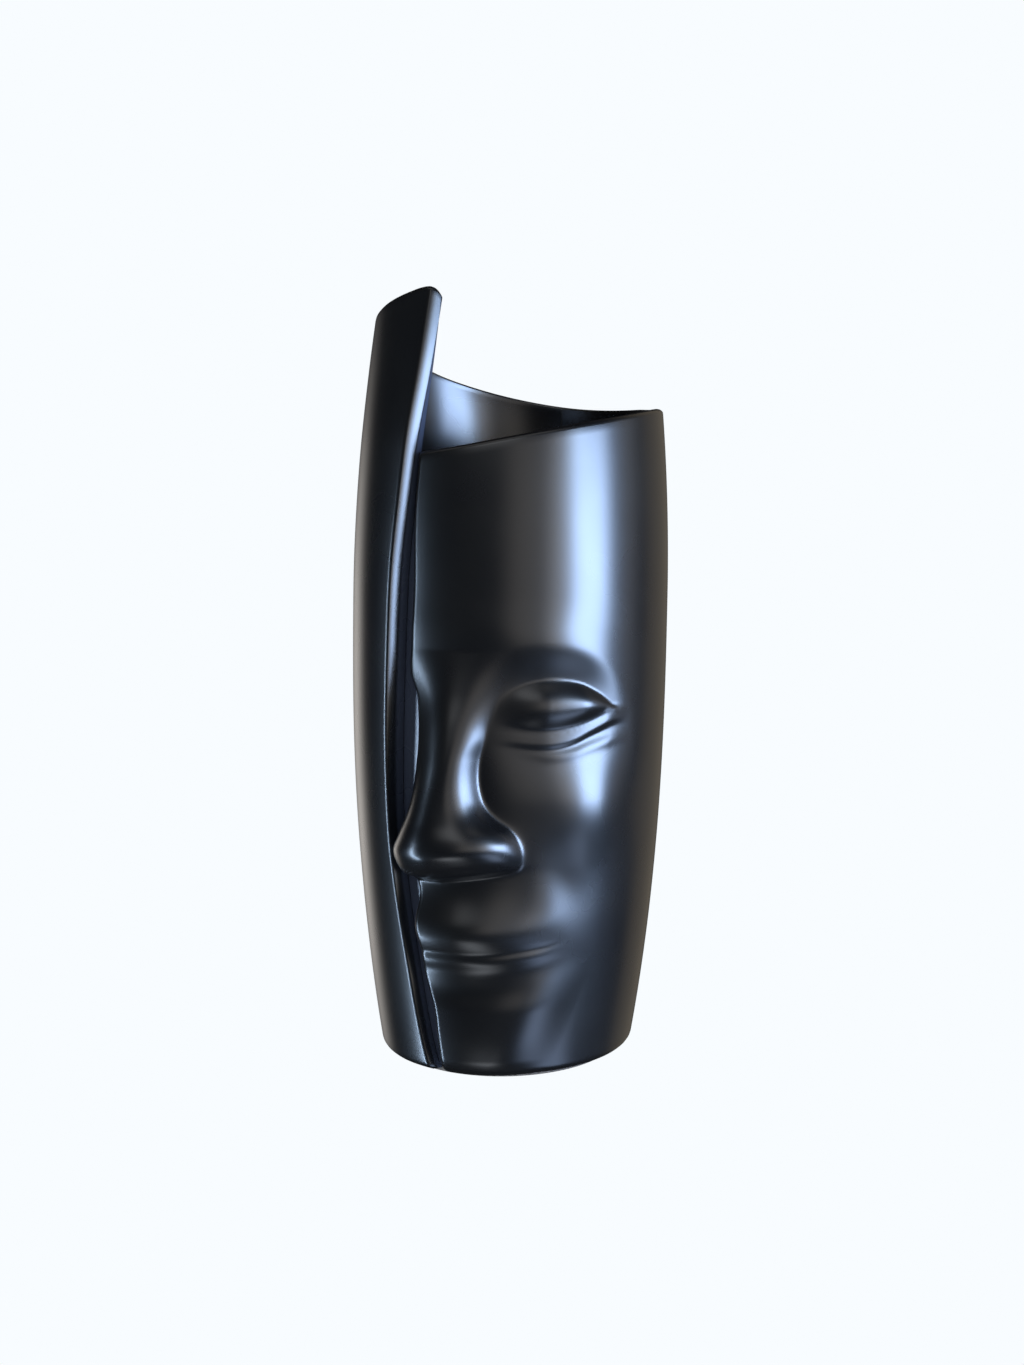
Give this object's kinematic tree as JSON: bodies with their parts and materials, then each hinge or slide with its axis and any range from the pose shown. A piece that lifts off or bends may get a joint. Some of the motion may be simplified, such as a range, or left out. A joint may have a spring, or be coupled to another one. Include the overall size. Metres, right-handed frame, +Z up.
{
  "type": "face vase",
  "caption": "Tall oval vase whose front is a half face in relief; a tall leaf of wall wraps the left side and laps over the face's edge along a groove, and the open rim climbs in a spiral.",
  "frame": {"origin": "centre of the foot ring on the plane that the vase stands on", "axes": "+Z up, the longest extent; the face looks along -Y and its half with the eye lies towards +X"},
  "size_m": [0.1236, 0.1561, 0.3],
  "materials": {
    "glaze": "satin black glaze",
    "bare_clay": "dark fired clay, matt"
  },
  "bodies": {
    "root": {"face_shell": "glaze", "wrap_shell": "glaze", "floor_disc": "glaze", "foot_ring": "bare_clay"}
  },
  "joints": []
}
